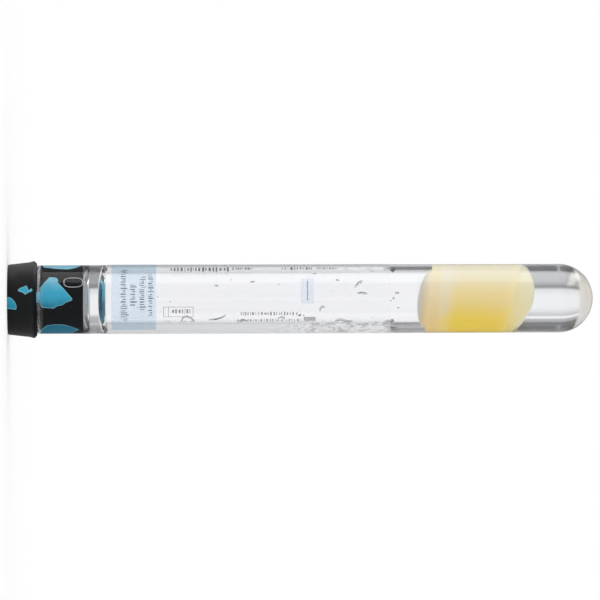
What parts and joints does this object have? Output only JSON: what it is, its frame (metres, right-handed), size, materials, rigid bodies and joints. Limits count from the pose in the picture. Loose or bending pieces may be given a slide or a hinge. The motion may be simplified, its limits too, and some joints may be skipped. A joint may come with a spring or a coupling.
{
  "type": "blood collection tube",
  "caption": "Round-ended glass tube closed by a moulded rubber stopper, with a clear film label, a small liquid fill, a gel plug and a second liquid behind it.",
  "frame": {"origin": "centre of the stopper's outer face, on the surface that the tube stands on", "axes": "+Z along the tube's axis from the stopper to the round end; +Y away from the side that the picture shows; the gel's far face is higher on the -X side"},
  "size_m": [0.0174, 0.0174, 0.1317],
  "materials": {
    "rubber": "matte black rubber marbled with blue",
    "clear_liquid": "clear watery liquid",
    "glass": "polished clear glass",
    "film": "clear film with a pale blue printed field",
    "gel": "translucent cream gel",
    "dense_liquid": "clear liquid"
  },
  "bodies": {
    "stopper": {"rubber_stopper": "rubber", "anticoagulant_liquid": "clear_liquid"},
    "tube": {"glass_tube": "glass", "label_film": "film", "gel_barrier": "gel", "density_liquid": "dense_liquid"}
  },
  "joints": [
    {"name": "stopper_pull", "type": "slide", "parent": "stopper", "child": "tube", "axis": [0, 0, 1], "range_m": [0, 0.03]}
  ]
}
